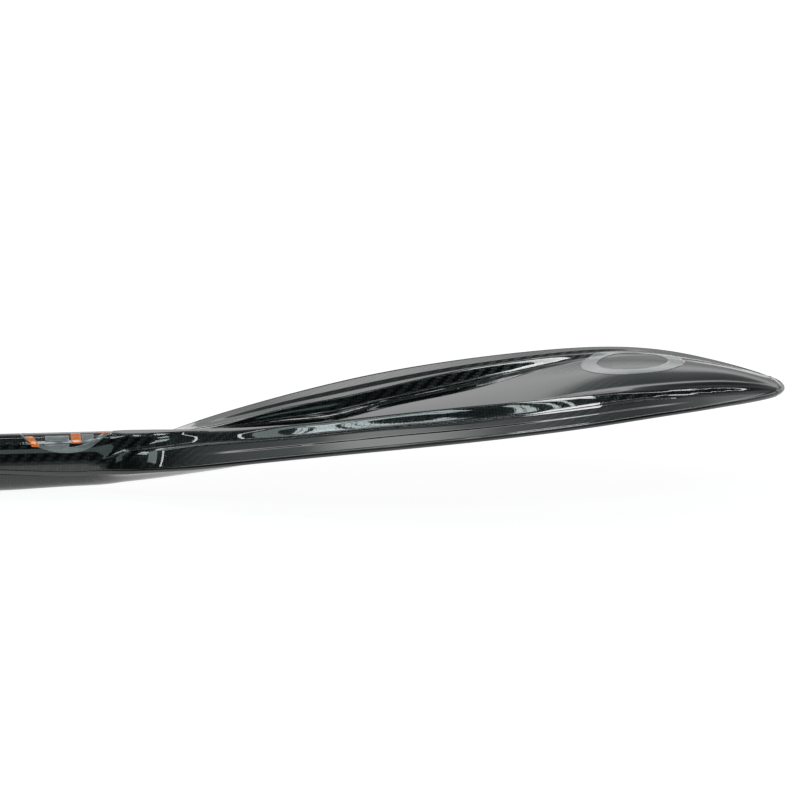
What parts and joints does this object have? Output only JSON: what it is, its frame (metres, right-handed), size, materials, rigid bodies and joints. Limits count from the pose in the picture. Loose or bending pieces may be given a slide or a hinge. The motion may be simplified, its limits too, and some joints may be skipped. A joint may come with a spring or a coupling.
{
  "type": "single blade paddle",
  "caption": "Carbon single-blade paddle with a ribbed spooned blade, moulded neck, round shaft and T-grip.",
  "frame": {"origin": "under the middle of the paddle's overall length, on the surface it lies on", "axes": "+X along the shaft towards the blade's tip, +Y across the blade, +Z out of the blade's back face"},
  "size_m": [1.3005, 0.191, 0.0742],
  "materials": {
    "carbon_gloss": "clear-coated carbon twill",
    "carbon_tube": "carbon tube",
    "edge_resin": "black epoxy edge",
    "foam": "closed-cell foam",
    "filler": "filled epoxy",
    "trim": "moulded rubber",
    "label": "printed vinyl",
    "mark": "silver-grey printed film"
  },
  "bodies": {
    "root": {"blade_back_shell": "carbon_gloss", "blade_power_shell": "carbon_gloss", "throat_core": "foam", "core_centre": "foam", "rib_spar_left": "foam", "rib_spar_right": "foam", "core_left": "foam", "core_right": "foam", "edge_bead": "edge_resin", "panel_mark": "mark", "neck_filler": "filler", "neck_label": "label", "neck_ring": "trim", "shaft_tube": "carbon_tube", "shaft_lower_plug": "foam", "shaft_upper_plug": "foam", "grip_spigot": "filler", "grip_ring": "trim", "grip_core": "foam", "grip_shell_back": "carbon_gloss", "grip_shell_power": "carbon_gloss"}
  },
  "joints": []
}
